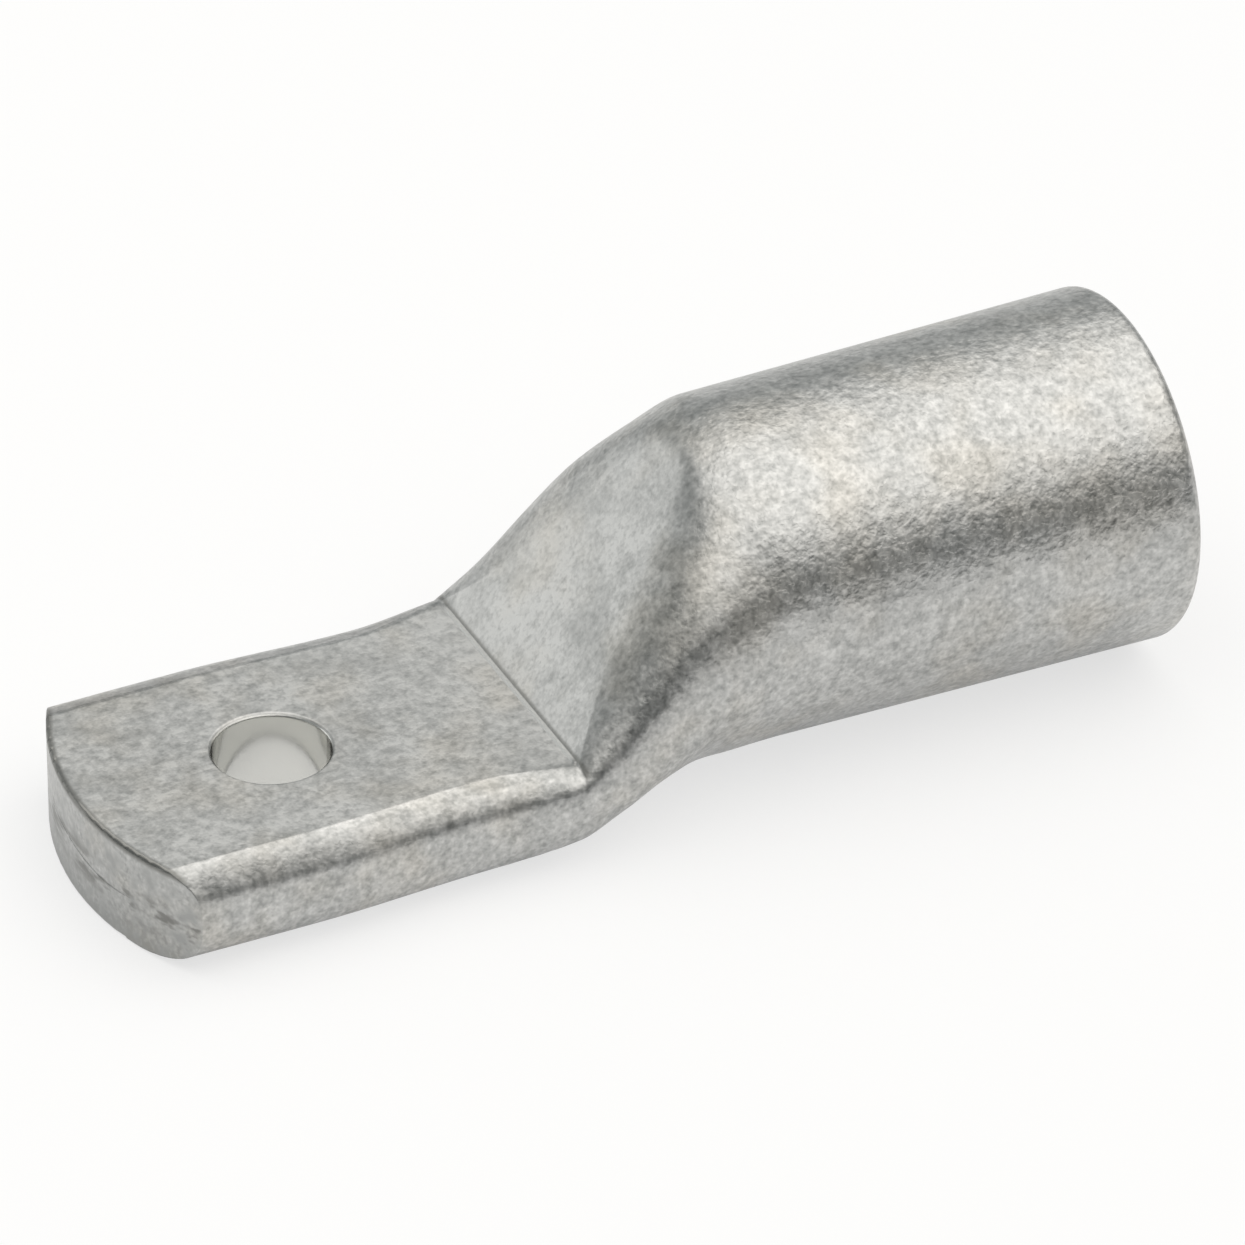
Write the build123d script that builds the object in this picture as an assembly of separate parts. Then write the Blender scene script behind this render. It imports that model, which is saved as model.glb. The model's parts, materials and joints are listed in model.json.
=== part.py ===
from build123d import *
import os
from dataclasses import dataclass
from math import radians, sin, sqrt, tan

# A tubular cable lug: one length of copper tube, pressed at one end into a thick narrow palm.
# The origin is the centre of the bolt hole on the underside of the palm.
# X runs from the palm to the mouth of the barrel, Y across the palm, Z up.
# Lengths are in millimetres and angles in degrees.

# Bolt hole
bolt_hole_diameter = 10.5
bolt_hole_edge_break = 0.25

# Palm
palm_thickness = 9.8
palm_width = 32.7
palm_tip_width = 32.4
palm_waist_width = 31.2
palm_waist_reach = 14.0
palm_tip_reach = 18.5
palm_tip_arc_radius = 31.0
palm_edge_break = 0.3
palm_shoulder_round = 2.0

# Crease between the palm and the ramp
crease_reach = 22.7
crease_width = 32.4
crease_bead_radius = 0.18
crease_bead_inset = 2.7

# Ramp that the punch leaves between the palm and the barrel
ramp_angle = 51.0
ramp_bend_radius = 7.3

# Barrel
mouth_diameter = 32.2
neck_diameter = 31.2
barrel_length = 38.9
mouth_round = 1.2

# Bore for the cable
bore_diameter = 25.0
bore_edge_break = 0.8

# Cavity between the bore and the place where the two walls of the tube close on each other
cavity_end_height = 0.5
cavity_end_gap = 1.5
cavity_end_width = 23.6

# Hairline seam where the two walls meet in the end face
seam_width = 19.0
seam_depth = 0.5
seam_opening = 0.12
seam_wave = 0.35

# How full the rounded quarters of a section are: near 0.59 they are round and at 1 nearly square
palm_upper_fullness = 1.0
palm_lower_fullness = 0.91

# Height of the widest line of a section, as a share of the palm's thickness
palm_side_share = 0.56
crease_side_share = 0.66

# How far the pressed tube would stand above the punch and below the die before they flatten it
palm_swell = 0.5
die_swell = 0.15

# Sections through the ramp: the share of the way from the crease to the neck, the swell above
# the punch, and the fullness of the lower and the upper quarters
ramp_stations = [
    (0.0, 0.7, 0.81, 1.0),
    (0.2, 0.6, 0.60, 0.88),
    (0.4, 0.35, 0.48, 0.85),
    (0.6, 0.3, 0.48, 0.74),
    (0.8, 0.0, 0.56, 0.56),
]

# How far the cutting shapes run past the lug, and the pressed tube past its end cut
overrun = 5.0
tip_allowance = 1.0

# Sizes that follow from the ones above
neck_radius = neck_diameter / 2
mouth_radius = mouth_diameter / 2
bore_radius = bore_diameter / 2
axis_height = mouth_radius
ramp_slope = tan(radians(ramp_angle))
neck_top = axis_height + neck_radius
ramp_corner = crease_reach + (neck_top - palm_thickness) / ramp_slope
neck_reach = ramp_corner + ramp_bend_radius * tan(radians(ramp_angle / 2))
mouth_reach = neck_reach + barrel_length

# A quarter with these two values is exactly round
round_weight = (1 + sqrt(2)) / 3
round_fullness = sqrt(2) / (1 + sqrt(2))


@dataclass(frozen=True)
class TubeSection:
    """One cross-section of the tube's outer skin, made of four rounded quarters."""

    reach: float
    half_width: float
    floor: float
    side_height: float
    crown: float
    lower_fullness: float
    upper_fullness: float
    creased: bool = False
    straight: bool = False

    def quarters(self) -> list[list[Vector]]:
        """The control points of the quarters, round from the far side over the top."""
        x, side, width = self.reach, self.side_height, self.half_width
        corners = [
            (Vector(x, width, side), Vector(x, width, self.crown), Vector(x, 0, self.crown)),
            (Vector(x, 0, self.crown), Vector(x, -width, self.crown), Vector(x, -width, side)),
            (Vector(x, -width, side), Vector(x, -width, self.floor), Vector(x, 0, self.floor)),
            (Vector(x, 0, self.floor), Vector(x, width, self.floor), Vector(x, width, side)),
        ]
        upper, lower = self.upper_fullness, self.lower_fullness
        fullness = [upper, upper, lower, lower]
        return [
            [start, start + (corner - start) * full, end + (corner - end) * full, end]
            for (start, corner, end), full in zip(corners, fullness)
        ]

    def cap(self) -> Face:
        """The flat face that closes the skin at this section."""
        weights = [1, round_weight, round_weight, 1]
        return Face(Wire([Edge.make_bezier(*points, weights=weights) for points in self.quarters()]))


def secant(start: Vector, end: Vector) -> Vector:
    """How fast a point of the section moves for each millimetre along the lug."""
    return (end - start) / (end.X - start.X)


def eased_rate(before: float, after: float) -> float:
    """A rate between two others that never overshoots, and is level where they turn back."""
    if before * after <= 0:
        return 0.0
    return 2 * before * after / (before + after)


def rate_at(before: Vector, here: Vector, after: Vector) -> Vector:
    """The rate of a point of the section where two spans of the skin meet smoothly."""
    arriving, leaving = secant(before, here), secant(here, after)
    return Vector(1, eased_rate(arriving.Y, leaving.Y), eased_rate(arriving.Z, leaving.Z))


def patch(sections: list[TubeSection], span: int, quarter: int) -> Face:
    """The patch of skin between two neighbouring sections, over one of their quarters.

    A creased section breaks the skin all over its upper quarters, down to the widest line.
    A straight section takes its rate from the span after it alone.
    """
    start, end = sections[span], sections[span + 1]
    third = (end.reach - start.reach) / 3
    widest_point = {0: 0, 1: 3}.get(quarter)
    net = []
    for point in range(4):
        track = [section.quarters()[quarter][point] for section in sections]
        here, there, after = track[span], track[span + 1], track[span + 2]
        leaving = arriving = secant(here, there)
        breaks = quarter < 2 and point != widest_point
        if span > 0 and not (start.creased and breaks):
            leaving = rate_at(track[span - 1], here, there)
        if end.straight:
            arriving = secant(there, after)
        elif not (end.creased and breaks):
            arriving = rate_at(here, there, after)
        net.append([here, here + leaving * third, there - arriving * third, there])
    weights = [[1] * 4, [round_weight] * 4, [round_weight] * 4, [1] * 4]
    return Face.make_bezier_surface(net, weights)


def blend(start: float, end: float, share: float) -> float:
    """The value between start and end at a share of the way."""
    return start + (end - start) * share


def ease(share: float) -> float:
    """A share of the way that starts and ends gently."""
    return share * share * (3 - 2 * share)


def crown_height(x: float) -> float:
    """Height of the tube's crown along the ramp and round its bend into the barrel."""
    bend_start = neck_reach - ramp_bend_radius * sin(radians(ramp_angle))
    if x < bend_start:
        return palm_thickness + (x - crease_reach) * ramp_slope
    run = neck_reach - x
    return neck_top - ramp_bend_radius + sqrt(ramp_bend_radius**2 - run**2)


def barrel_radius(x: float) -> float:
    """Outer radius of the barrel, which widens slightly from the neck to the mouth."""
    return blend(neck_radius, mouth_radius, (x - neck_reach) / barrel_length)


def palm_section(x: float, width: float) -> TubeSection:
    """A section through the palm before the punch and die flatten it."""
    return TubeSection(
        reach=x,
        half_width=width / 2,
        floor=-die_swell,
        side_height=palm_thickness * palm_side_share,
        crown=palm_thickness + palm_swell,
        lower_fullness=palm_lower_fullness,
        upper_fullness=palm_upper_fullness,
    )


def ramp_section(share: float, swell: float, lower: float, upper: float) -> TubeSection:
    """A section through the ramp, at a share of the way from the crease to the neck."""
    x = blend(crease_reach, neck_reach, share)
    return TubeSection(
        reach=x,
        half_width=blend(crease_width / 2, neck_radius, share),
        floor=blend(-die_swell, axis_height - neck_radius, share),
        side_height=blend(palm_thickness * crease_side_share, axis_height, ease(share)),
        crown=crown_height(x) + swell,
        lower_fullness=lower,
        upper_fullness=upper,
        creased=share == 0,
    )


def barrel_section(share: float) -> TubeSection:
    """A round section of the barrel, at a share of the way from the neck to the mouth."""
    x = blend(neck_reach, mouth_reach, share)
    radius = barrel_radius(x)
    return TubeSection(
        reach=x,
        half_width=radius,
        floor=axis_height - radius,
        side_height=axis_height,
        crown=axis_height + radius,
        lower_fullness=round_fullness,
        upper_fullness=round_fullness,
        straight=True,
    )


def pressed_end() -> Solid:
    """The outer form of the pressed end, from the palm to the neck, before it is trimmed."""
    palm_middle = (palm_waist_reach - palm_tip_reach) / 2
    sections = [
        palm_section(-palm_tip_reach - tip_allowance, palm_tip_width),
        palm_section(palm_middle, palm_width),
        palm_section(palm_waist_reach, palm_waist_width),
        *[ramp_section(*station) for station in ramp_stations],
        barrel_section(0.0),
        barrel_section(1.0),
    ]
    spans = range(len(sections) - 2)
    skin = [patch(sections, span, quarter) for span in spans for quarter in range(4)]
    return Solid(Shell([*skin, sections[0].cap(), sections[-2].cap()]))


def barrel() -> Part:
    """The round barrel, with its rounded rim and the chamfered mouth of its bore.

    It is turned so that the line where its skin closes on itself lies underneath.
    """
    outline = Polyline(
        (neck_reach, neck_radius),
        (mouth_reach, mouth_radius),
        (mouth_reach, bore_radius + bore_edge_break),
        (mouth_reach - bore_edge_break, bore_radius),
        (neck_reach, bore_radius),
        close=True,
    )
    profile = make_face(outline)
    rim = profile.vertices().sort_by_distance((mouth_reach, mouth_radius))[0]
    profile = Plane.XZ * fillet(rim, mouth_round)
    return Pos(0, 0, axis_height) * Rot(180, 0, 0) * revolve(profile, Axis.X)


def punch() -> Part:
    """The space that the punch takes: all above the flat of the palm and above the ramp."""
    reach_above = 2 * neck_top
    back = -palm_tip_reach - overrun
    outline = Polyline(
        (back, palm_thickness),
        (crease_reach, palm_thickness),
        (crease_reach + (reach_above - palm_thickness) / ramp_slope, reach_above),
        (back, reach_above),
        close=True,
    )
    return extrude(Plane.XZ * make_face(outline), amount=mouth_diameter, both=True)


def crease_bead() -> Part:
    """The fine bead along the crease, which ends short of the palm's sides."""
    length = crease_width - 2 * crease_bead_inset
    bead = Cylinder(crease_bead_radius, length, rotation=(90, 0, 0))
    ends = [Pos(0, side * length / 2, 0) * Sphere(crease_bead_radius) for side in (-1, 1)]
    return Pos(crease_reach, 0, palm_thickness) * (bead + ends)


def flat_die() -> Part:
    """The space under the lug, which the flat bed of the die takes."""
    length = mouth_reach + palm_tip_reach + 2 * overrun
    middle = (mouth_reach - palm_tip_reach) / 2
    return Pos(middle, 0, -overrun / 2) * Box(length, 2 * mouth_diameter, overrun)


def pressed_flat() -> Part:
    """The pressed end after the punch and die, rounded where the palm's flat runs into its sides."""
    pressed = pressed_end() - punch() - flat_die()
    flat = pressed.faces().filter_by(Plane.XY).sort_by(Axis.Z)[-1]
    shoulders = flat.edges().filter_by(GeomType.LINE, reverse=True)
    return fillet(shoulders, palm_shoulder_round) + crease_bead()


def tip_disc(radius: float) -> Part:
    """A disc on the centre of the round end cut, as thick as the palm."""
    centre = palm_tip_arc_radius - palm_tip_reach
    return Pos(centre, 0, palm_thickness / 2) * Cylinder(radius, palm_thickness)


def tip_blank() -> Part:
    """All that the round end cut of the palm leaves, with the edges of the cut rounded off."""
    disc = tip_disc(palm_tip_arc_radius)
    disc = fillet(disc.edges().filter_by(GeomType.CIRCLE), palm_edge_break)
    start = palm_tip_arc_radius - palm_tip_reach
    end = mouth_reach + overrun
    rest = Box(end - start, 3 * mouth_diameter, 4 * neck_top)
    return disc + Pos((start + end) / 2, 0, neck_top) * rest


def end_seam() -> Part:
    """The hairline where the two walls are pressed together, as it shows in the end face."""
    half = seam_width / 2
    middle = palm_thickness / 2
    start, end = (-half, middle), (half, middle)
    upper = Spline(
        start,
        (-half / 3, middle - seam_wave + seam_opening / 2),
        (half / 3, middle + seam_wave / 2 + seam_opening / 2),
        end,
    )
    lower = Spline(
        start,
        (-half / 3, middle - seam_wave - seam_opening / 2),
        (half / 3, middle + seam_wave / 2 - seam_opening / 2),
        end,
    )
    slit = extrude(Plane.YZ * make_face(upper + lower), amount=-palm_tip_reach - overrun)
    return slit - tip_disc(palm_tip_arc_radius - seam_depth)


def closing_cavity() -> Part:
    """The hollow between the bore and the closed walls: a wedge with rounded sides."""
    end, middle = crease_reach + cavity_end_gap, palm_thickness / 2
    outline = Polyline(
        (neck_reach, axis_height - bore_radius),
        (neck_reach, axis_height + bore_radius),
        (end, middle + cavity_end_height / 2),
        (end, middle - cavity_end_height / 2),
        close=True,
    )
    wedge = extrude(Plane.XZ * make_face(outline), amount=bore_radius, both=True)
    length = neck_reach - end
    cone = Cone(cavity_end_width / 2, bore_radius, length)
    return wedge & Pos(end + length / 2, 0, axis_height) * Rot(0, 90, 0) * cone


def bolt_hole() -> Part:
    """The bolt hole through the palm."""
    return Pos(0, 0, palm_thickness / 2) * Cylinder(bolt_hole_diameter / 2, 2 * palm_thickness)


def with_hole_edges_broken(lug: Part) -> Part:
    """The lug with both edges of the bolt hole chamfered."""
    wall = lug.faces().filter_by(GeomType.CYLINDER).sort_by_distance((0, 0, palm_thickness / 2))[0]
    return chamfer(wall.edges().filter_by(GeomType.CIRCLE), bolt_hole_edge_break)


lug = (pressed_flat() & tip_blank()) - closing_cavity() + barrel()
lug = with_hole_edges_broken(lug - bolt_hole()) - end_seam()
print(f"neck at {neck_reach:.3f}, mouth at {mouth_reach:.3f}, volume {lug.volume:.1f}, valid {lug.is_valid}")

os.makedirs("parts", exist_ok=True)
export_step(lug, "parts/lug_body.step")
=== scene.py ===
"""A tin-plated tubular cable lug on a pale studio floor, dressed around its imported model.

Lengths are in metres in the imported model's own frame: X runs from the palm to the mouth of
the barrel, Z is up, and the origin is the centre of the bolt hole on the palm's underside.
Inside the tin's shader all lengths are in millimetres, since its grain is that fine.
"""

from __future__ import annotations

import json
import logging
import math
from dataclasses import dataclass
from enum import Enum
from typing import Any

import bpy
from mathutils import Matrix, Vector

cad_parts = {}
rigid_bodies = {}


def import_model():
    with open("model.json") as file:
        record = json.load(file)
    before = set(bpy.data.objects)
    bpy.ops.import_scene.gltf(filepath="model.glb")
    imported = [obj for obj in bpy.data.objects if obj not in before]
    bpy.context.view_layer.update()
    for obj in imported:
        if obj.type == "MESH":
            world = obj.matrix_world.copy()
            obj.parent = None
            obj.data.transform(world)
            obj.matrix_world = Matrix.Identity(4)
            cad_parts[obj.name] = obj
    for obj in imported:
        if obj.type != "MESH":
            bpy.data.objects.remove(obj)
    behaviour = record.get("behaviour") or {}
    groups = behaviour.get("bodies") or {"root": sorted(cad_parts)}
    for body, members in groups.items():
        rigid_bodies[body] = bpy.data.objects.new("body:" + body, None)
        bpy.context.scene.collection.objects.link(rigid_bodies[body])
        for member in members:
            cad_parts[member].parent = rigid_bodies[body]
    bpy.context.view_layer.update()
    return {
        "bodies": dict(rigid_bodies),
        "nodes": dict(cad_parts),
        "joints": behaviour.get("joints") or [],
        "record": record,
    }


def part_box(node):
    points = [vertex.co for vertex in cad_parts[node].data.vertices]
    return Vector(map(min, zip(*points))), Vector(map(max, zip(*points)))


MILLIMETRES_PER_METRE = 1000.0

# The colour sockets of a Mix node, whose names stand for its other types too
MIX_FACTOR = 0
MIX_FIRST_COLOUR = 6
MIX_SECOND_COLOUR = 7
MIXED_COLOUR = 2

Colour = tuple[float, float, float, float]

log = logging.getLogger("cable_lug")


class MathStep(Enum):
    """The steps of shader maths that the materials use."""

    SUM = "ADD"
    DIFFERENCE = "SUBTRACT"
    PRODUCT = "MULTIPLY"
    QUOTIENT = "DIVIDE"
    SIZE = "ABSOLUTE"
    ROOT = "SQRT"
    LARGEST = "MAXIMUM"


@dataclass(frozen=True)
class Rise:
    """A smooth rise or fall from one value to another, level beyond both ends.

    Attributes:
        start: Where it starts.
        end: Where it is done, which may lie on either side of the start.
        low: The value up to the start.
        high: The value from the end on.
    """

    start: float
    end: float
    low: float = 0.0
    high: float = 1.0


class Signal:
    """A number that varies over a surface, on which Python's operators build shader maths."""

    def __init__(self, graph: ShaderGraph, socket: bpy.types.NodeSocket) -> None:
        """Wrap a socket of a graph."""
        self.graph = graph
        self.socket = socket

    def _math(self, step: MathStep, *values: Signal | float) -> Signal:
        """Add a Math node that works out a step from its inputs in order, and return its result."""
        settings = {"operation": step.value}
        return self.graph.node("ShaderNodeMath", settings, dict(enumerate(values))).signal()

    def __add__(self, other: Signal | float) -> Signal:
        """Return the sum."""
        return self._math(MathStep.SUM, self, other)

    def __radd__(self, other: float) -> Signal:
        """Return the sum."""
        return self._math(MathStep.SUM, other, self)

    def __sub__(self, other: Signal | float) -> Signal:
        """Return the difference."""
        return self._math(MathStep.DIFFERENCE, self, other)

    def __rsub__(self, other: float) -> Signal:
        """Return the difference from a number."""
        return self._math(MathStep.DIFFERENCE, other, self)

    def __mul__(self, other: Signal | float) -> Signal:
        """Return the product."""
        return self._math(MathStep.PRODUCT, self, other)

    def __rmul__(self, other: float) -> Signal:
        """Return the product."""
        return self._math(MathStep.PRODUCT, other, self)

    def __truediv__(self, other: float) -> Signal:
        """Return the quotient."""
        return self._math(MathStep.QUOTIENT, self, other)

    def __abs__(self) -> Signal:
        """Return this without its sign."""
        return self._math(MathStep.SIZE, self)

    def most(self, other: Signal) -> Signal:
        """Return the larger of the two."""
        return self._math(MathStep.LARGEST, self, other)

    def diagonal(self, other: Signal) -> Signal:
        """Return how far apart the ends are when these two lie square to each other."""
        return self._math(MathStep.ROOT, self * self + other * other)

    def follow(self, rise: Rise) -> Signal:
        """Carry this along a rise.

        Args:
            rise: Where it starts and ends, and its two values.

        Returns:
            The value of the rise where this stands.
        """
        settings = {"interpolation_type": "SMOOTHSTEP"}
        values = {
            "Value": self,
            "From Min": rise.start,
            "From Max": rise.end,
            "To Min": rise.low,
            "To Max": rise.high,
        }
        return self.graph.node("ShaderNodeMapRange", settings, values).signal()


class NodeHandle:
    """A node that has its settings and inputs, and gives its outputs."""

    def __init__(self, graph: ShaderGraph, node: bpy.types.Node) -> None:
        """Wrap a node of a graph."""
        self.graph = graph
        self.node = node

    def output(self, name: str | int = 0) -> bpy.types.NodeSocket:
        """Return one of the node's output sockets."""
        return self.node.outputs[name]

    def signal(self, name: str | int = 0) -> Signal:
        """Return one of the node's outputs as a number for shader maths."""
        return Signal(self.graph, self.output(name))


class ShaderGraph:
    """A node tree under construction."""

    def __init__(self, tree: bpy.types.NodeTree) -> None:
        """Empty a tree and keep it."""
        self.tree = tree
        tree.nodes.clear()

    def node(
        self,
        kind: str,
        settings: dict[str, Any] | None = None,
        values: dict[str | int, Any] | None = None,
    ) -> NodeHandle:
        """Add any node.

        Args:
            kind: The node's type.
            settings: The node's own properties, which are set first.
            values: Plain values, sockets, nodes or signals for its inputs, by name or number.

        Returns:
            The new node.
        """
        node = self.tree.nodes.new(kind)
        for name, value in (settings or {}).items():
            setattr(node, name, value)
        for name, value in (values or {}).items():
            self.feed(node.inputs[name], value)
        return NodeHandle(self, node)

    def feed(self, socket: bpy.types.NodeSocket, value: Any) -> None:
        """Give an input its value or its link.

        Args:
            socket: The input.
            value: A plain value, a socket, a node or a signal.
        """
        if isinstance(value, Signal):
            value = value.socket
        if isinstance(value, NodeHandle):
            value = value.output()
        if isinstance(value, bpy.types.NodeSocket):
            self.tree.links.new(value, socket)
        else:
            socket.default_value = value

    def mixed(self, factor: Signal, first: Any, second: Any) -> bpy.types.NodeSocket:
        """Mix two colours.

        Args:
            factor: 0 for the first and 1 for the second.
            first: The first colour, plain or linked.
            second: The second colour, plain or linked.

        Returns:
            The colour between the two.
        """
        settings = {"data_type": "RGBA", "blend_type": "MIX"}
        values = {MIX_FACTOR: factor, MIX_FIRST_COLOUR: first, MIX_SECOND_COLOUR: second}
        return self.node("ShaderNodeMix", settings, values).output(MIXED_COLOUR)

    def split(self, vector: bpy.types.NodeSocket) -> tuple[Signal, Signal, Signal]:
        """Return the three parts of a vector."""
        parts = self.node("ShaderNodeSeparateXYZ", values={"Vector": vector})
        return parts.signal("X"), parts.signal("Y"), parts.signal("Z")


@dataclass(frozen=True)
class Noise:
    """A cloudy noise.

    Attributes:
        size: Size of a cloud, in millimetres.
        detail: How much finer noise rides on it.
        shift: How far it is moved, so that it differs from another one, in millimetres.
        finer_strength: How strong that finer noise is.
    """

    size: float
    detail: float = 1.0
    shift: float = 0.0
    finer_strength: float = 0.55

    def build(self, graph: ShaderGraph, place: bpy.types.NodeSocket) -> Signal:
        """Add the noise.

        Args:
            graph: The tree it goes into.
            place: Coordinates in millimetres.

        Returns:
            The noise, with 0 in the middle and most of it within 0.2 of that.
        """
        values = {"Vector": place, "Location": (self.shift, self.shift, self.shift)}
        moved = graph.node("ShaderNodeMapping", values=values)
        values = {
            "Vector": moved,
            "Scale": 1.0 / self.size,
            "Detail": self.detail,
            "Roughness": self.finer_strength,
        }
        return graph.node("ShaderNodeTexNoise", values=values).signal() - 0.5


@dataclass(frozen=True)
class Scores:
    """Short curved scores that run every way, along the lines where a noise is 0.

    Attributes:
        line: The noise whose middle value they follow.
        breaks: The noise that breaks them off.
        width: How they fade beside that line.
        gaps: How they fade at their ends.
    """

    line: Noise
    breaks: Noise
    width: Rise = Rise(0.030, 0.004)
    gaps: Rise = Rise(0.02, 0.09)

    def build(self, graph: ShaderGraph, place: bpy.types.NodeSocket) -> Signal:
        """Add the scores.

        Args:
            graph: The tree they go into.
            place: Coordinates in millimetres.

        Returns:
            1 in the middle of a score and 0 between them.
        """
        beside_line = abs(self.line.build(graph, place))
        breaks = self.breaks.build(graph, place)
        return beside_line.follow(self.width) * breaks.follow(self.gaps)


@dataclass(frozen=True)
class GrainRecipe:
    """What the noises of the tin are made from.

    Attributes:
        patches: The soft patches.
        clouds: The larger mottling.
        mottle: The speckle.
        fine: The finest grain.
        tint: Where the tin is faintly warm.
        smears: Streaks across the lug, for the end cut.
        smear_scale: Scale of their coordinates, where below 1 draws them out that way.
        first_scores: One set of fine scores.
        second_scores: Another set, which crosses the first.
    """

    patches: Noise = Noise(6.0)
    clouds: Noise = Noise(1.4, shift=13.0)
    mottle: Noise = Noise(0.52, shift=31.0)
    fine: Noise = Noise(0.26, shift=57.0)
    tint: Noise = Noise(8.4, detail=2.0, shift=83.0)
    smears: Noise = Noise(1.1, detail=2.0, shift=21.0)
    smear_scale: tuple[float, float, float] = (1.0, 0.22, 1.0)
    first_scores: Scores = Scores(Noise(0.8, shift=5.0), Noise(0.55, detail=0.0, shift=14.0))
    second_scores: Scores = Scores(Noise(0.8, shift=47.0), Noise(0.55, detail=0.0, shift=56.0))


class Grain:
    """The noises of the tin as signals on its skin, under the names that the recipe gives them."""

    def __init__(
        self, graph: ShaderGraph, place: bpy.types.NodeSocket, recipe: GrainRecipe
    ) -> None:
        """Add all the noises.

        Args:
            graph: The tree they go into.
            place: Coordinates in millimetres.
            recipe: What they are made from.
        """
        values = {"Vector": place, "Scale": recipe.smear_scale}
        drawn_out = graph.node("ShaderNodeMapping", values=values).output()
        first_scores = recipe.first_scores.build(graph, place)
        self.patches = recipe.patches.build(graph, place)
        self.clouds = recipe.clouds.build(graph, place)
        self.mottle = recipe.mottle.build(graph, place)
        self.fine = recipe.fine.build(graph, place)
        self.tint = recipe.tint.build(graph, place)
        self.smears = recipe.smears.build(graph, drawn_out)
        self.scores = first_scores.most(recipe.second_scores.build(graph, place))


@dataclass(frozen=True)
class GrainShares:
    """How much of each noise goes into a sum.

    Attributes:
        clouds: Share of the larger mottling.
        mottle: Share of the speckle.
        fine: Share of the finest grain.
        scores: Share of the scores.
    """

    clouds: float
    mottle: float
    fine: float
    scores: float

    def build(self, grain: Grain) -> Signal:
        """Return the sum of these shares of the tin's noises."""
        coarse = self.clouds * grain.clouds + self.mottle * grain.mottle
        return coarse + self.fine * grain.fine + self.scores * grain.scores


@dataclass(frozen=True)
class LugPlaces:
    """Where the lug's features are, in millimetres, for the finish to follow.

    Attributes:
        palm_thickness: Height of the palm's top.
        hole_radius: Radius of the bolt hole.
        bore_radius: Radius of the bore.
        axis_height: Height of the barrel's axis.
        palm_tip: Where the palm ends.
        tip_arc_radius: Radius of the round cut at the palm's end.
        crease_reach: Where the ramp starts.
        ramp_angle: How steeply the ramp rises, in degrees.
        seam_share: Height of the hairline in the end cut, as a share of the thickness.
    """

    palm_thickness: float
    hole_radius: float
    bore_radius: float
    axis_height: float
    palm_tip: float
    tip_arc_radius: float = 31.0
    crease_reach: float = 22.7
    ramp_angle: float = 51.0
    seam_share: float = 0.45

    @classmethod
    def from_record(cls, record: dict[str, Any]) -> LugPlaces:
        """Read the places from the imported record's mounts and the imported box.

        Args:
            record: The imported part's record.

        Returns:
            The places.
        """
        mounts = {mount["name"]: mount for mount in record["mounts"]}
        low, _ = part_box("lug_body")
        return cls(
            palm_thickness=mounts["palm_top"]["pos_m"][2] * MILLIMETRES_PER_METRE,
            hole_radius=mounts["stud_hole"]["dims"]["r_mm"],
            bore_radius=mounts["cable_socket"]["dims"]["r_mm"],
            axis_height=mounts["cable_socket"]["pos_m"][2] * MILLIMETRES_PER_METRE,
            palm_tip=low.x * MILLIMETRES_PER_METRE,
        )


@dataclass(frozen=True)
class MarkEdges:
    """How the marks on the lug's features fade, in millimetres.

    Attributes:
        wall: Out from the wall of the bolt hole.
        rim: To both sides of that wall, at its top.
        rim_depth: Down from the palm's top there.
        low_rim: Out from that wall, at its bottom.
        low_rim_height: Up from the underside there.
        clear_of_hole: Out from that wall, to where the palm is free of the hole.
        bore: Out from the wall of the bore.
        bore_under_ramp: Down from the ramp, which the bore's mark stays below.
        bore_start: Past the crease, where the bore's mark starts.
        bead: Out from the crease.
        beside_bead: Out from the crease, for the line along the bead.
        ramp_side: Past the crease, since that line lies only on the ramp's side.
        end: In from the end cut.
        end_edge: Out from the end cut's top edge.
        tip_half: Along the lug, to where only the palm's tip is left.
        seam: To both sides of the hairline in the end cut.
        flat_depth: Down from the palm's top, for the pressed flats.
        ramp_depth: Down from the ramp, for the pressed flats.
        flat_reach: Past the crease, for the pressed flats.
        ramp: Past the crease, on to the ramp.
        shoulder_out: Out from the palm's middle, for the brightest strip of its shoulders.
        shoulder_depth: Down from the palm's top, for that strip.
        shoulder_end: Past the crease, where that strip ends.
    """

    wall: Rise = Rise(0.15, 0.02)
    rim: Rise = Rise(0.30, 0.08)
    rim_depth: Rise = Rise(0.5, 0.2)
    low_rim: Rise = Rise(0.6, 0.3)
    low_rim_height: Rise = Rise(0.8, 0.3)
    clear_of_hole: Rise = Rise(0.9, 1.5)
    bore: Rise = Rise(0.15, 0.02)
    bore_under_ramp: Rise = Rise(1.0, 2.0)
    bore_start: Rise = Rise(0.0, 1.0)
    # bead: Out from the crease, for the painted highlight on the bead.
    bead: Rise = Rise(0.26, 0.20)
    # beside_bead: Out from the crease, for the painted shadow line along the bead.
    beside_bead: Rise = Rise(0.75, 0.35)
    ramp_side: Rise = Rise(0.05, 0.20)
    end: Rise = Rise(0.10, 0.02)
    end_edge: Rise = Rise(0.75, 0.30)
    tip_half: Rise = Rise(0.0, -2.0)
    seam: Rise = Rise(2.6, 0.4)
    flat_depth: Rise = Rise(0.3, 0.1)
    ramp_depth: Rise = Rise(1.2, 0.3)
    flat_reach: Rise = Rise(20.0, 15.0)
    ramp: Rise = Rise(0.0, 6.0)
    shoulder_out: Rise = Rise(12.0, 13.5)
    shoulder_depth: Rise = Rise(0.45, 0.15)
    shoulder_end: Rise = Rise(1.6, 0.6)


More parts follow.
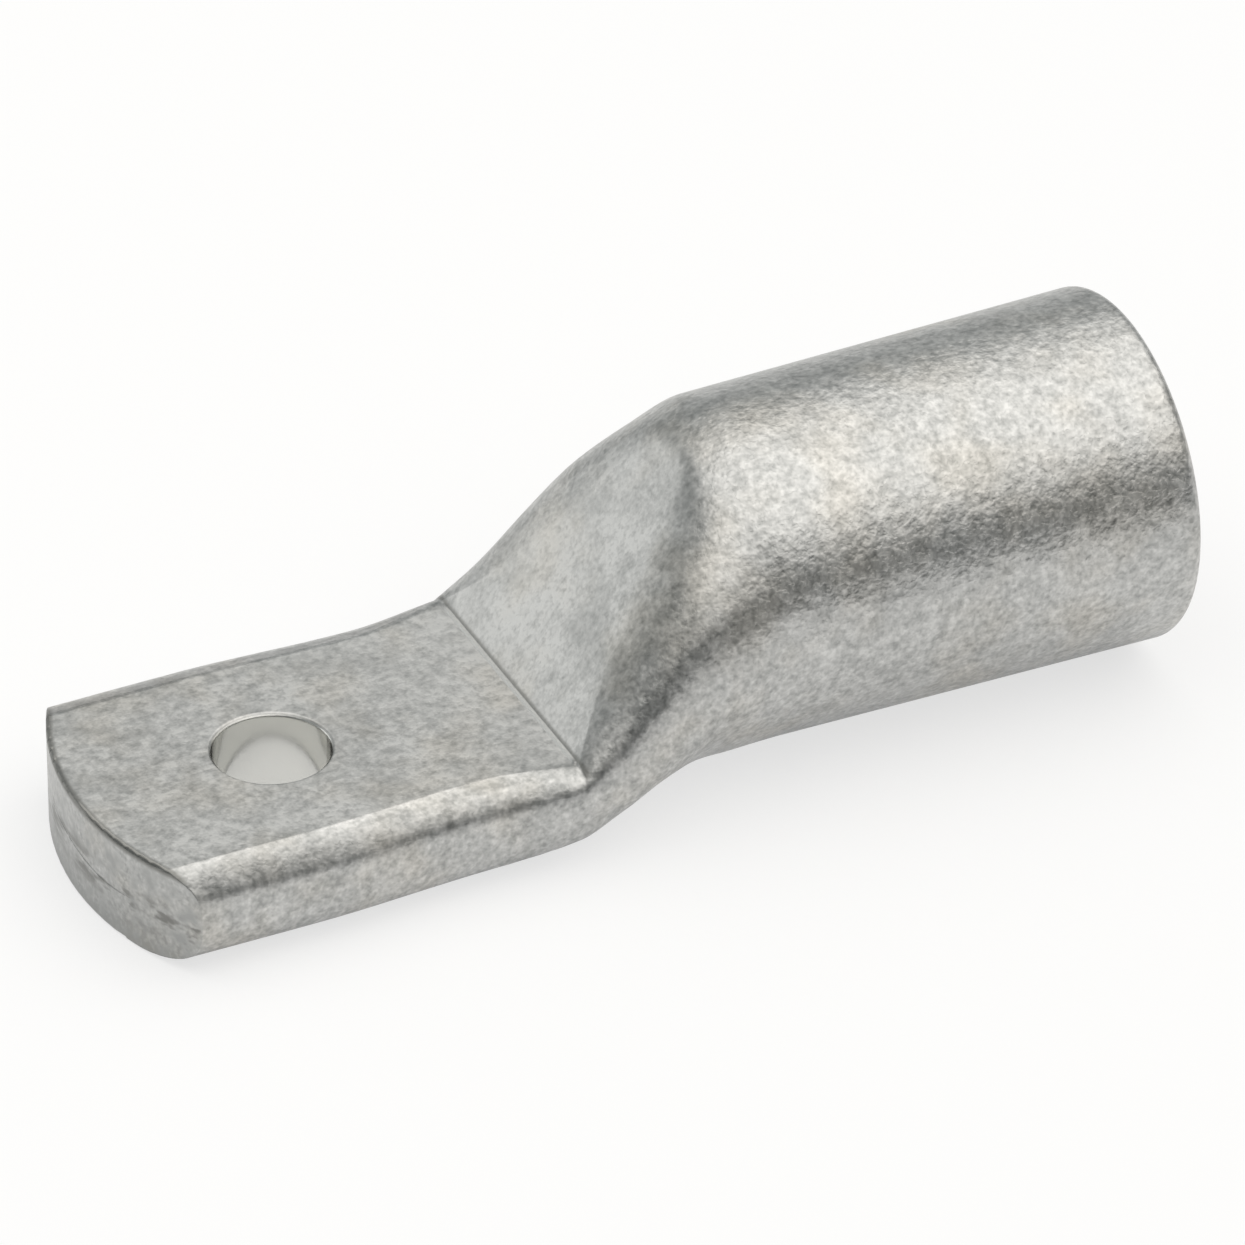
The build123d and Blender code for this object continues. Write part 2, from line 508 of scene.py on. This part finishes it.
class Landmarks:
    """The lug's features as signals on its skin.

    A mark is 1 on its feature and 0 away from it. The plain distances are in millimetres.
    """

    def __init__(
        self,
        graph: ShaderGraph,
        place: bpy.types.NodeSocket,
        places: LugPlaces,
        edges: MarkEdges,
    ) -> None:
        """Measure the distances that the marks share.

        Args:
            graph: The tree they go into.
            place: Coordinates in millimetres.
            places: Where the lug's features are.
            edges: How the marks fade.
        """
        self.places = places
        self.edges = edges
        self.x, self.y, self.z = graph.split(place)
        self.past_wall = self.x.diagonal(self.y) - places.hole_radius
        self.past_crease = self.x - places.crease_reach
        self.below_top = places.palm_thickness - self.z
        slope = math.tan(math.radians(places.ramp_angle))
        self.under_ramp = self.past_crease * slope + self.below_top
        self.from_crease = self.past_crease.diagonal(self.below_top)
        arc_centre = places.palm_tip + places.tip_arc_radius
        self.from_end = places.tip_arc_radius - (self.x - arc_centre).diagonal(self.y)

    def on_wall(self) -> Signal:
        """Return the mark of the bolt hole's drilled wall."""
        return self.past_wall.follow(self.edges.wall)

    def at_rim(self) -> Signal:
        """Return the mark of the bolt hole's top rim."""
        beside_wall = abs(self.past_wall).follow(self.edges.rim)
        return beside_wall * self.below_top.follow(self.edges.rim_depth)

    def at_low_rim(self) -> Signal:
        """Return the mark of the bolt hole's bottom rim, by the floor, where shade is painted."""
        beside_wall = self.past_wall.follow(self.edges.low_rim)
        return beside_wall * self.z.follow(self.edges.low_rim_height)

    def clear_of_hole(self) -> Signal:
        """Return 1 away from the bolt hole and 0 at it."""
        return self.past_wall.follow(self.edges.clear_of_hole)

    def in_bore(self) -> Signal:
        """Mark the bore and the cavity behind it.

        Returns:
            The mark.
        """
        from_axis = self.y.diagonal(self.z - self.places.axis_height)
        near_wall = (from_axis - self.places.bore_radius).follow(self.edges.bore)
        below_ramp = self.under_ramp.follow(self.edges.bore_under_ramp)
        return near_wall * below_ramp * self.past_crease.follow(self.edges.bore_start)

    def on_bead(self) -> Signal:
        """Return the mark of the crease's fine bead, where its highlight is painted."""
        return self.from_crease.follow(self.edges.bead)

    def beside_bead(self) -> Signal:
        """Return the mark of the painted shadow line along the bead, on the ramp's side."""
        near_bead = self.from_crease.follow(self.edges.beside_bead)
        return near_bead * self.past_crease.follow(self.edges.ramp_side)

    def on_end(self) -> Signal:
        """Return the mark of the end cut."""
        return self.from_end.follow(self.edges.end) * self.x.follow(self.edges.tip_half)

    def on_end_edge(self) -> Signal:
        """Return the mark of the end cut's top edge, where shade is painted."""
        near_edge = self.from_end.diagonal(self.below_top).follow(self.edges.end_edge)
        return near_edge * self.x.follow(self.edges.tip_half)

    def by_seam(self) -> Signal:
        """Return the mark of the hairline in the end cut."""
        seam_height = self.places.seam_share * self.places.palm_thickness
        return abs(self.z - seam_height).follow(self.edges.seam) * self.on_end()

    def on_flat(self) -> Signal:
        """Mark the pressed flats, which are the palm's top and the ramp.

        Returns:
            The mark.
        """
        at_palm = self.below_top.follow(self.edges.flat_depth)
        at_ramp = self.under_ramp.follow(self.edges.ramp_depth)
        return at_palm * at_ramp * self.past_crease.follow(self.edges.flat_reach)

    def on_ramp(self) -> Signal:
        """Return 1 past the crease and 0 before it."""
        return self.past_crease.follow(self.edges.ramp)

    def on_shoulder(self) -> Signal:
        """Mark the brightest strip of the palm's shoulders, where painted shade dims its highlight.

        Returns:
            The mark.
        """
        strip = abs(self.y).follow(self.edges.shoulder_out)
        strip = strip * self.below_top.follow(self.edges.shoulder_depth)
        return strip * self.past_crease.follow(self.edges.shoulder_end)


@dataclass(frozen=True)
class SkinLie:
    """How the tin's skin faces where it is softer or more pressed than the solid.

    Attributes:
        edge_ease: Radius to which it softens an edge, in millimetres.
        bend_ease: The same where the ramp turns over into the barrel.
        bend_start: Past the crease, where that softening starts.
        bend_end: Along the lug, where it ends.
        samples: How many directions the softening looks in.
        press: How much further the palm's shoulders turn down, along the lug.
        press_turn: How that press fades as the skin comes to face sideways.
        press_front: How it fades as the skin comes to face the tip, on the end cut.
        press_end: Past the crease, where it fades out.
        press_height: Up from the underside, where it fades in.
    """

    edge_ease: float = 0.28
    bend_ease: float = 1.6
    bend_start: Rise = Rise(2.0, 7.0)
    bend_end: Rise = Rise(52.0, 47.0)
    samples: int = 8
    press: Rise = Rise(20.0, -10.0, low=1.3, high=2.7)
    press_turn: Rise = Rise(1.0, 0.05)
    press_front: Rise = Rise(-0.5, -0.2)
    press_end: Rise = Rise(0.0, -4.0)
    press_height: Rise = Rise(5.0, 7.0)

    def build(self, graph: ShaderGraph, marks: Landmarks) -> NodeHandle:
        """Find which way the skin faces.

        Args:
            graph: The tree it goes into.
            marks: The lug's features.

        Returns:
            The direction.
        """
        on_bend = marks.past_crease.follow(self.bend_start) * marks.x.follow(self.bend_end)
        radius = self.edge_ease + on_bend * (self.bend_ease - self.edge_ease)
        values = {"Radius": radius / MILLIMETRES_PER_METRE}
        eased = graph.node("ShaderNodeBevel", {"samples": self.samples}, values)
        along, across, _ = graph.split(eased.output())
        press = marks.x.follow(self.press) * abs(across).follow(self.press_turn)
        press = press * along.follow(self.press_front)
        press = press * marks.past_crease.follow(self.press_end)
        press = press * marks.z.follow(self.press_height) * marks.clear_of_hole()
        push = graph.node("ShaderNodeCombineXYZ", values={"Y": across * press})
        turned = graph.node("ShaderNodeVectorMath", {"operation": "ADD"}, {0: eased, 1: push})
        return graph.node("ShaderNodeVectorMath", {"operation": "NORMALIZE"}, {0: turned})


@dataclass(frozen=True)
class WearAndPaintedLight:
    """Where the tin is brighter or duller, as shares of the step from dull to bright: from wear and
    grain, and from painted light and shade.

    Attributes:
        middle: The plain tin between its two colours.
        patches: Strength of the soft patches.
        flat_patches: How much stronger they are on the pressed flats.
        flat_smooth: Share of the speckle that the flats lack.
        patch_speckle: How far the patches move that share.
        flat_bright: How much brighter the flats are.
        crease_painted_light: Painted light: how much brighter the flats are again towards the
            crease, along the lug.
        far_painted_light: Painted light and shade: how their brightness changes across the lug,
            towards its far side.
        far_painted_light_reach: Along the lug, where that change starts.
        ramp_painted_shade: Painted shade: how much duller the ramp is across the lug, towards its
            near side.
        shoulder_painted_shade: Painted shade that dims the highlight on the brightest strip of the
            shoulders, along the lug.
        low_painted_shade: Painted shade: how much duller the tin is towards the underside, up from
            there.
        lowest_painted_shade: Painted shade: how much duller it is again at the underside's edge.
        barrel_painted_shade: Painted shade: how much duller the low part of the barrel is again.
        barrel_shade_reach: Along the lug, where that starts.
    """

    middle: float = 0.5
    patches: float = 0.3
    flat_patches: float = 0.7
    flat_smooth: float = 0.08
    patch_speckle: float = 1.2
    flat_bright: float = 0.17
    crease_painted_light: Rise = Rise(2.0, 14.0, high=0.05)
    far_painted_light: Rise = Rise(-12.0, 8.0, low=-0.06, high=0.12)
    far_painted_light_reach: Rise = Rise(2.0, 12.0)
    ramp_painted_shade: Rise = Rise(-12.0, 8.0, low=0.20, high=0.0)
    shoulder_painted_shade: Rise = Rise(4.0, 16.0, low=0.25, high=0.42)
    low_painted_shade: Rise = Rise(4.0, 0.6, high=0.3)
    lowest_painted_shade: Rise = Rise(1.8, 0.4, high=0.25)
    barrel_painted_shade: Rise = Rise(7.5, 4.0, high=0.25)
    barrel_shade_reach: Rise = Rise(36.0, 46.0)

    def build(self, marks: Landmarks, grain: Grain, speckle: Signal) -> Signal:
        """Find where the tin lies between dull and bright, with painted light and shade.

        Args:
            marks: The lug's features.
            grain: The noises of the tin.
            speckle: The speckle of the plain tin.

        Returns:
            0 where it is dull and 1 where it is bright.
        """
        flat = marks.on_flat()
        patches = (self.patches + self.flat_patches * flat) * grain.patches
        kept_speckle = 1.0 - (self.flat_smooth - self.patch_speckle * grain.patches) * flat
        # The flats are brighter; towards the crease they are brighter again, which is painted
        # light.
        bright = self.flat_bright + marks.x.follow(self.crease_painted_light)
        # Painted light on the flats towards the far side, with a little painted shade on the near
        # side.
        bright = bright + marks.y.follow(self.far_painted_light) * marks.x.follow(self.far_painted_light_reach)
        # Painted shade on the ramp's near side.
        bright = bright - marks.y.follow(self.ramp_painted_shade) * marks.on_ramp()
        # Painted shade: darker towards the underside, again at its edge and on the low part of the
        # barrel.
        dull = marks.z.follow(self.low_painted_shade) + marks.z.follow(self.lowest_painted_shade)
        dull = dull + marks.z.follow(self.barrel_painted_shade) * marks.x.follow(self.barrel_shade_reach)
        # Painted shade that dims the highlight on the shoulders' brightest strip.
        dull = dull + marks.on_shoulder() * marks.x.follow(self.shoulder_painted_shade)
        return self.middle + patches + speckle * kept_speckle + bright * flat - dull


@dataclass(frozen=True)
class TinPlate:
    """Satin tin plating over copper: mottled, finely dented and scored by tumbling.

    Attributes:
        dull: Colour of the duller spots of tin.
        bright: Colour of the brighter spots.
        dull_straw: The duller spots where a patch has a faint warm tint.
        bright_straw: The brighter spots there.
        sheared: The duller tin on the cut end of the palm.
        drilled: The even tin on the drilled wall of the bolt hole.
        painted_bead_highlight: A painted highlight along the crease's fine bead, in brighter tin.
        grime_and_painted_shade: The darker grey of the dirt in the end cut's hairline, of the
            painted shade at the end cut's top edge, at the hole's bottom rim and beside the bead,
            and of the darker hole rim and bore.
        straw: How the warm tint follows its noise.
        sheared_share: How much of the end cut's colour is the sheared tin's.
        sheared_mottle: How far the mottling moves that share.
        seam_grime: How the dirt by the hairline follows its streaks.
        end_edge_painted_shade: Strength of the painted shade at the end cut's top edge.
        rim_darkening: Strength of the darker grey at the bolt hole's top rim.
        low_rim_painted_shade: Strength of the painted shade at its bottom rim, by the floor.
        bore_darkening: Strength of the darker grey in the bore.
        bead_painted_shadow: Strength of the painted shadow beside the bead.
        roughness: Roughness of the plain tin.
        roughness_swing: How far the mottling moves it.
        score_roughness: How much rougher a score is.
        wall_roughness: Roughness of the drilled wall of the bolt hole.
        speckle: Shares of the noises in the colour.
        dents: Shares of the noises in the relief.
        relief: Height that a relief of 1 stands for, in metres.
        wall_smooth: Share of the relief that the drilled wall lacks.
        flat_smooth: Share of it that the pressed flats lack.
        palm_smooth: Share of it that is left along the lug, since the palm is smoother.
        recipe: What the noises are made from.
        wear_and_painted_light: Where the tin is brighter or duller, from wear and grain and from
            painted light and shade.
        lie: How the skin faces.
        edges: How the marks on the lug's features fade.
    """

    dull: Colour = (0.33, 0.335, 0.33, 1.0)
    bright: Colour = (0.65, 0.65, 0.64, 1.0)
    dull_straw: Colour = (0.33, 0.325, 0.305, 1.0)
    bright_straw: Colour = (0.66, 0.643, 0.61, 1.0)
    sheared: Colour = (0.36, 0.365, 0.36, 1.0)
    drilled: Colour = (0.76, 0.76, 0.735, 1.0)
    painted_bead_highlight: Colour = (0.66, 0.66, 0.645, 1.0)
    grime_and_painted_shade: Colour = (0.20, 0.20, 0.19, 1.0)
    straw: Rise = Rise(-0.08, 0.24)
    sheared_share: float = 0.45
    sheared_mottle: float = 2.5
    seam_grime: Rise = Rise(-0.02, 0.14, high=0.9)
    end_edge_painted_shade: float = 0.85
    rim_darkening: float = 0.3
    low_rim_painted_shade: float = 0.8
    bore_darkening: float = 0.3
    bead_painted_shadow: float = 0.75
    roughness: float = 0.36
    roughness_swing: float = 0.10
    score_roughness: float = 0.05
    wall_roughness: float = 0.14
    speckle: GrainShares = GrainShares(clouds=1.05, mottle=1.45, fine=0.3, scores=-0.1)
    dents: GrainShares = GrainShares(clouds=4.0, mottle=2.6, fine=0.35, scores=-0.3)
    relief: float = 0.000023
    wall_smooth: float = 0.97
    flat_smooth: float = 0.4
    palm_smooth: Rise = Rise(46.0, 34.0, low=1.0, high=0.5)
    recipe: GrainRecipe = GrainRecipe()
    wear_and_painted_light: WearAndPaintedLight = WearAndPaintedLight()
    lie: SkinLie = SkinLie()
    edges: MarkEdges = MarkEdges()

    def _colour(self, graph: ShaderGraph, marks: Landmarks, grain: Grain) -> bpy.types.NodeSocket:
        """Colour the tin, its dirt and darker spots, and its painted shade and highlights.

        Args:
            graph: The tree it goes into.
            marks: The lug's features.
            grain: The noises of the tin.

        Returns:
            The colour.
        """
        tone = self.wear_and_painted_light.build(marks, grain, self.speckle.build(grain))
        plain = graph.mixed(tone, self.dull, self.bright)
        warm = graph.mixed(tone, self.dull_straw, self.bright_straw)
        colour = graph.mixed(grain.tint.follow(self.straw), plain, warm)
        sheared = marks.on_end() * (self.sheared_share + self.sheared_mottle * grain.clouds)
        colour = graph.mixed(sheared, colour, self.sheared)
        smeared = marks.by_seam() * grain.smears.follow(self.seam_grime)
        colour = graph.mixed(smeared, colour, self.grime_and_painted_shade)
        # Painted shade along the end cut's top edge.
        colour = graph.mixed(marks.on_end_edge() * self.end_edge_painted_shade, colour, self.grime_and_painted_shade)
        # Darker grey at the bolt hole's top rim and in the bore.
        colour = graph.mixed(marks.at_rim() * self.rim_darkening, colour, self.grime_and_painted_shade)
        colour = graph.mixed(marks.in_bore() * self.bore_darkening, colour, self.grime_and_painted_shade)
        colour = graph.mixed(marks.on_wall(), colour, self.drilled)
        # Painted shade at the bolt hole's bottom rim, by the floor.
        colour = graph.mixed(marks.at_low_rim() * self.low_rim_painted_shade, colour, self.grime_and_painted_shade)
        # Painted shadow along the bead, on the ramp's side.
        colour = graph.mixed(marks.beside_bead() * self.bead_painted_shadow, colour, self.grime_and_painted_shade)
        # Painted highlight along the bead, except on the shoulders' brightest strip.
        bead = marks.on_bead() * (1.0 - marks.on_shoulder())
        return graph.mixed(bead, colour, self.painted_bead_highlight)

    def _roughness(self, marks: Landmarks, grain: Grain) -> Signal:
        """Find how rough the tin is.

        Args:
            marks: The lug's features.
            grain: The noises of the tin.

        Returns:
            The roughness.
        """
        rough = self.roughness + self.roughness_swing * (grain.mottle + grain.clouds)
        rough = rough + self.score_roughness * grain.scores
        return rough + marks.on_wall() * (self.wall_roughness - rough)

    def _relief(self, graph: ShaderGraph, marks: Landmarks, grain: Grain) -> NodeHandle:
        """Dent and score the skin.

        Args:
            graph: The tree it goes into.
            marks: The lug's features.
            grain: The noises of the tin.

        Returns:
            The direction that the dented skin faces.
        """
        height = self.dents.build(grain) * (1.0 - self.wall_smooth * marks.on_wall())
        height = height * (1.0 - self.flat_smooth * marks.on_flat())
        height = height * marks.x.follow(self.palm_smooth)
        values = {
            "Strength": 1.0,
            "Distance": self.relief,
            "Height": height,
            "Normal": self.lie.build(graph, marks),
        }
        return graph.node("ShaderNodeBump", values=values)

    def build(self, places: LugPlaces) -> bpy.types.Material:
        """Make the material.

        Args:
            places: Where the lug's features are.

        Returns:
            The finished material.
        """
        material = bpy.data.materials.new("satin_tin_plating")
        material.use_nodes = True
        graph = ShaderGraph(material.node_tree)
        metres = graph.node("ShaderNodeTexCoord").output("Object")
        values = {"Vector": metres, "Scale": MILLIMETRES_PER_METRE}
        place = graph.node("ShaderNodeVectorMath", {"operation": "SCALE"}, values).output()
        marks = Landmarks(graph, place, places, self.edges)
        grain = Grain(graph, place, self.recipe)
        values = {
            "Base Color": self._colour(graph, marks, grain),
            "Metallic": 1.0,
            "Roughness": self._roughness(marks, grain),
            "Normal": self._relief(graph, marks, grain),
        }
        shader = graph.node("ShaderNodeBsdfPrincipled", values=values)
        graph.node("ShaderNodeOutputMaterial", values={"Surface": shader})
        return material


@dataclass
class CableLug:
    """The lug itself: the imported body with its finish.

    Attributes:
        node_name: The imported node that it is.
        finish: The plating on it.
    """

    node_name: str = "lug_body"
    finish: TinPlate = TinPlate()

    def build(self, frame: dict[str, Any]) -> bpy.types.Object:
        """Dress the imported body.


        Returns:
            The dressed body.
        """
        body = frame["nodes"][self.node_name]
        material = self.finish.build(LugPlaces.from_record(frame["record"]))
        body.material_slots[0].material = material
        log.info("%s: %d triangles, %s", body.name, len(body.data.polygons), material.name)
        return body


@dataclass
class StudioFloor:
    """A plain pale floor, which shows near white and keeps the lug's soft shadow.

    Attributes:
        width: Side of the square floor, in metres.
        gap: How far it lies under the lug, in metres.
        seen_colour: Its pale colour as the camera sees it, where its shadow is faint.
        colour: Its pale colour in reflections and for the light that it throws back.
        seen_lift: The light added where the camera sees it, which brings it to white.
        reflected_lift: The light added where a reflection sees it.
    """

    width: float = 12.0
    gap: float = 0.00002
    seen_colour: Colour = (0.30, 0.30, 0.30, 1.0)
    colour: Colour = (0.60, 0.60, 0.60, 1.0)
    seen_lift: float = 0.68
    reflected_lift: float = 0.40

    def build(self) -> bpy.types.Object:
        """Make the floor.

        Returns:
            The floor.
        """
        bpy.ops.object.select_all(action="DESELECT")
        bpy.ops.mesh.primitive_plane_add(size=self.width, location=(0.0, 0.0, -self.gap))
        floor = bpy.context.active_object
        floor.name = "studio_floor"
        bpy.ops.object.transform_apply(location=True, rotation=True, scale=True)
        floor.data.materials.append(self._material())
        log.info("%s: %.1f m square", floor.name, self.width)
        return floor

    def _material(self) -> bpy.types.Material:
        """Make the floor's matt paper.

        Returns:
            The material.
        """
        material = bpy.data.materials.new("pale_paper")
        material.use_nodes = True
        graph = ShaderGraph(material.node_tree)
        rays = graph.node("ShaderNodeLightPath")
        seen = rays.signal("Is Camera Ray").most(rays.signal("Is Transmission Ray"))
        reflected = rays.signal("Is Glossy Ray")
        shade = graph.mixed(seen, self.colour, self.seen_colour)
        paper = graph.node("ShaderNodeBsdfDiffuse", values={"Color": shade})
        strength = seen * self.seen_lift + reflected * self.reflected_lift
        glow = graph.node("ShaderNodeEmission", values={"Strength": strength})
        both = graph.node("ShaderNodeAddShader", values={0: paper, 1: glow})
        graph.node("ShaderNodeOutputMaterial", values={"Surface": both})
        return material


@dataclass
class StudioSky:
    """The soft light all round: a bright roof that leans a little, and dimmer walls.

    Attributes:
        roof: Light from the middle of the roof.
        near_wall: Light from the wall behind the camera.
        far_wall: Light from the wall beyond the lug.
        lean: Which way the middle of the roof lies.
        roof_edge: How the walls pass into the roof, as cosines from its middle.
        wall_turn: How the near wall passes into the far one, as cosines from the far side.
    """

    roof: Colour = (1.65, 1.62, 1.56, 1.0)
    near_wall: Colour = (0.014, 0.024, 0.025, 1.0)
    far_wall: Colour = (0.45, 0.467, 0.463, 1.0)
    lean: tuple[float, float, float] = (0.20, -0.144, 1.0)
    roof_edge: Rise = Rise(0.37, 0.93)
    wall_turn: Rise = Rise(-1.0, 1.0)

    def build(self) -> bpy.types.World:
        """Make the world and hand it to the scene.

        Returns:
            The world.
        """
        world = bpy.data.worlds.new("studio_tent")
        bpy.context.scene.world = world
        world.use_nodes = True
        graph = ShaderGraph(world.node_tree)
        direction = graph.node("ShaderNodeTexCoord").output("Generated")
        _, towards_far, _ = graph.split(direction)
        settings = {"operation": "DOT_PRODUCT"}
        values = {0: direction, 1: Vector(self.lean).normalized()}
        towards_roof = graph.node("ShaderNodeVectorMath", settings, values).signal("Value")
        walls = graph.mixed(towards_far.follow(self.wall_turn), self.near_wall, self.far_wall)
        colour = graph.mixed(towards_roof.follow(self.roof_edge), walls, self.roof)
        light = graph.node("ShaderNodeBackground", values={"Color": colour, "Strength": 1.0})
        graph.node("ShaderNodeOutputWorld", values={"Surface": light})
        return world


@dataclass
class Softbox:
    """A rectangular lamp with an even face, aimed at the lug.

    Attributes:
        name: The lamp's name.
        direction: Where it stands as seen from the lug.
        aim: The point that it lights, in metres.
        distance: How far it stands from there, in metres.
        width: Its width, in metres.
        height: Its height, in metres.
        radiance: Its power over its area and over pi, which sets how bright its face is.
        colour: The faint tint of its light.
    """

    name: str
    direction: tuple[float, float, float]
    aim: tuple[float, float, float]
    distance: float
    width: float
    height: float
    radiance: float
    colour: tuple[float, float, float] = (1.0, 0.985, 0.96)

    def build(self) -> bpy.types.Object:
        """Make the lamp.

        Returns:
            The lamp.
        """
        lamp = bpy.data.lights.new(self.name, "AREA")
        lamp.shape = "RECTANGLE"
        lamp.size = self.width
        lamp.size_y = self.height
        lamp.energy = self.radiance * math.pi * self.width * self.height
        lamp.color = self.colour
        holder = bpy.data.objects.new(self.name, lamp)
        away = Vector(self.direction).normalized()
        holder.location = Vector(self.aim) + away * self.distance
        holder.rotation_euler = away.to_track_quat("Z", "Y").to_euler()
        holder.visible_camera = False
        bpy.context.scene.collection.objects.link(holder)
        log.info("%s: %.2f by %.2f m", self.name, self.width, self.height)
        return holder


@dataclass
class StudioCamera:
    """The camera of the photograph.

    Attributes:
        target: The point that the frame is set from, in metres.
        azimuth: Angle round the lug from square on, in degrees.
        elevation: Angle above the horizon, in degrees.
        distance: How far the camera stands from the target, in metres.
        slide_right: How far the frame's centre lies to the right of the target, in metres.
        slide_up: How far it lies above the target, in metres.
        lens: Focal length, in millimetres.
        sensor: Width of the square sensor, in millimetres.
        nearest: How near to the camera a thing still shows, in metres.
        furthest: How far from it a thing still shows, in metres.
    """

    target: tuple[float, float, float] = (0.025, 0.0, 0.012)
    azimuth: float = -25.7
    elevation: float = 34.1
    distance: float = 1.0
    slide_right: float = 0.00788
    slide_up: float = 0.002967
    lens: float = 331.4
    sensor: float = 36.0
    nearest: float = 0.01
    furthest: float = 50.0

    def build(self) -> bpy.types.Object:
        """Make the camera and hand it to the scene.

        Returns:
            The camera.
        """
        turn = math.radians(self.azimuth)
        rise = math.radians(self.elevation)
        level = Vector((math.sin(turn), -math.cos(turn), 0.0))
        back = level * math.cos(rise) + Vector((0.0, 0.0, math.sin(rise)))
        right = Vector((math.cos(turn), math.sin(turn), 0.0))
        up = back.cross(right)
        eye = Vector(self.target) + right * self.slide_right + up * self.slide_up
        data = bpy.data.cameras.new("photo_camera")
        data.lens = self.lens
        data.sensor_width = self.sensor
        data.clip_start = self.nearest
        data.clip_end = self.furthest
        camera = bpy.data.objects.new("photo_camera", data)
        camera.location = eye + back * self.distance
        camera.rotation_euler = back.to_track_quat("Z", "Y").to_euler()
        bpy.context.scene.collection.objects.link(camera)
        bpy.context.scene.camera = camera
        return camera


def main() -> None:
    """Build the lug, the studio and the camera in order."""
    logging.basicConfig(level=logging.INFO, format="%(name)s: %(message)s")
    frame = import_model()
    bpy.context.scene.view_settings.view_transform = "Standard"
    StudioCamera().build()
    StudioSky().build()
    Softbox(
        name="low_fill",
        direction=(-0.66, 0.73, 0.17),
        aim=(0.030, 0.0, 0.018),
        distance=0.6,
        width=0.36,
        height=0.32,
        radiance=0.65,
    ).build()
    StudioFloor().build()
    CableLug().build(frame)


if __name__ == "__main__":
    main()
